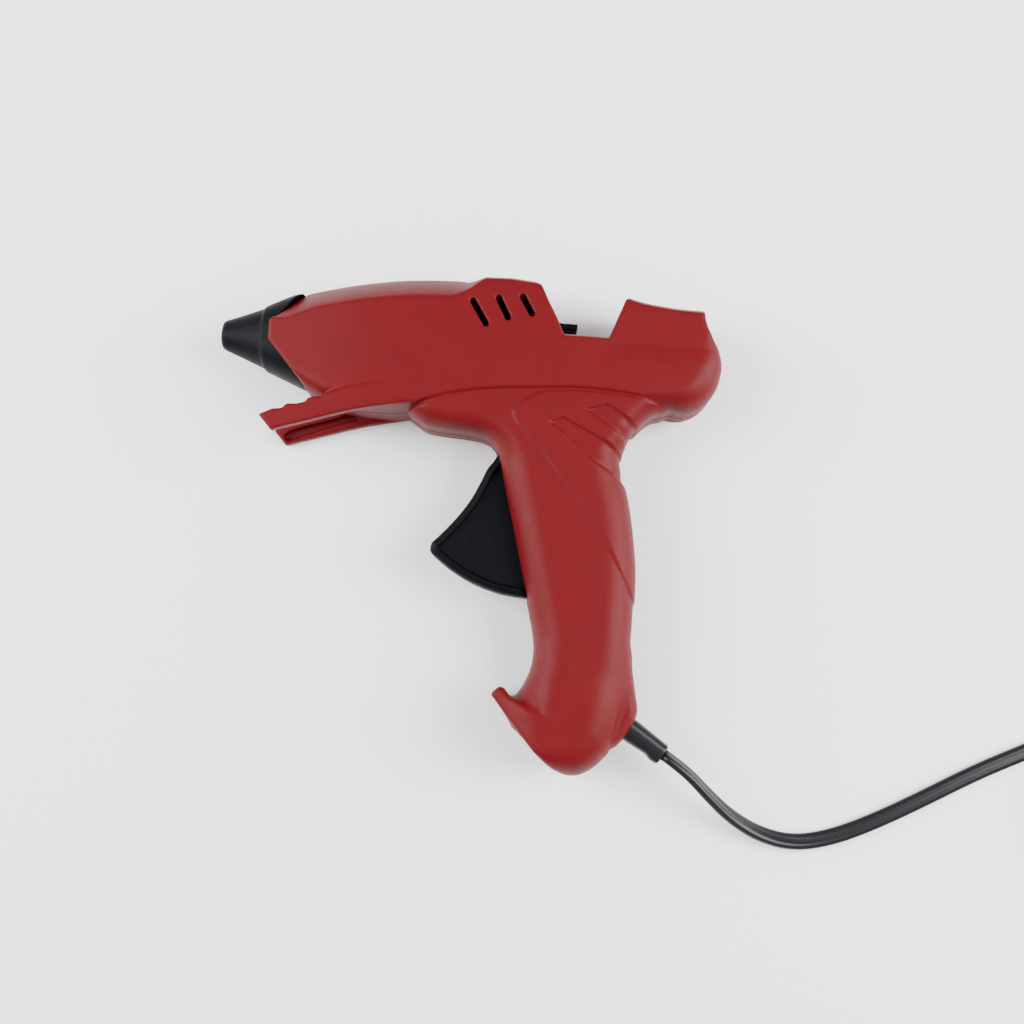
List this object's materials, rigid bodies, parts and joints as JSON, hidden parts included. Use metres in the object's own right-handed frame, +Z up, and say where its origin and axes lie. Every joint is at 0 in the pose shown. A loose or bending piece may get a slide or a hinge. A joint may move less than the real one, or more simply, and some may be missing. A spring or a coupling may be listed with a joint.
{
  "type": "glue gun",
  "caption": "Hot-melt glue gun: trigger-fed hand tool with heated nozzle, slide switch, guard fins and mains cord, lying on its side.",
  "frame": {"origin": "centre of the gun's box, on the plane it lies on (cord left out)", "axes": "+X along the glue stick from the nozzle to the inlet, +Y towards the gun's top, +Z up through its left side"},
  "size_m": [0.4808, 0.225, 0.038],
  "materials": {
    "red_plastic": "fine moulded texture",
    "black_nylon": "satin",
    "steel": "zinc plated",
    "spring_steel": "drawn wire",
    "brass": "turned",
    "cast_aluminium": "as cast",
    "heater_ceramic": "film wrapped",
    "saddle_board": "fibre board",
    "silicone": "matte",
    "white_plastic": "satin",
    "lead_brown": "pvc",
    "lead_blue": "pvc",
    "cord_pvc": "soft pvc",
    "plug_plastic": "moulded pvc",
    "nickel": "nickel plated"
  },
  "bodies": {
    "housing": {"left_housing": "red_plastic", "right_housing": "red_plastic", "housing_screws": "steel", "nozzle_sleeve": "black_nylon", "brass_nozzle": "brass", "check_ball": "steel", "check_spring": "spring_steel", "melt_chamber": "cast_aluminium", "ptc_heater": "heater_ceramic", "heater_clip": "spring_steel", "front_saddle": "saddle_board", "rear_saddle": "saddle_board", "inlet_cuff": "silicone", "cuff_clip": "spring_steel", "rear_guide_ring": "black_nylon", "trigger_pin": "steel", "return_spring": "spring_steel", "switch_body": "white_plastic", "live_lead": "lead_brown", "neutral_lead": "lead_blue", "switched_lead": "lead_brown", "cord_cores": "lead_blue", "terminal_block": "white_plastic", "cord_tail": "cord_pvc", "cord_clamp": "black_nylon", "clamp_screws": "steel", "strain_relief": "cord_pvc", "power_cord": "cord_pvc", "cord_coil": "cord_pvc", "plug_lead": "cord_pvc", "plug_body": "plug_plastic", "plug_pins": "nickel"},
    "trigger": {"trigger": "black_nylon"},
    "carriage": {"feed_carriage": "black_nylon", "jaw_pin": "steel"},
    "jaw": {"clamp_jaw": "steel"},
    "switch_slide": {"switch_slide": "black_nylon"}
  },
  "joints": [
    {"name": "trigger_pull", "type": "hinge", "parent": "housing", "child": "trigger", "pos_m": [0.028, 0.025, 0.019], "axis": [0, 0, 1], "range_deg": [0, 22], "stiffness_Nm_per_rad": 0.6, "springref_deg": -20.05},
    {"name": "carriage_feed", "type": "slide", "parent": "housing", "child": "carriage", "axis": [-1, 0, 0], "range_m": [0, 0.01458], "deforming": ["return_spring"]},
    {"name": "jaw_grip", "type": "hinge", "parent": "carriage", "child": "jaw", "pos_m": [0.016, 0.074, 0.019], "axis": [0, 0, 1], "range_deg": [0, 8.01]},
    {"name": "switch_travel", "type": "slide", "parent": "housing", "child": "switch_slide", "axis": [-1, 0, 0], "range_m": [0, 0.003]}
  ],
  "couplings": [
    {"joint": "carriage_feed", "follows": "trigger_pull", "m_per_rad": 0.037966},
    {"joint": "jaw_grip", "follows": "trigger_pull", "ratio": 0.36364}
  ]
}
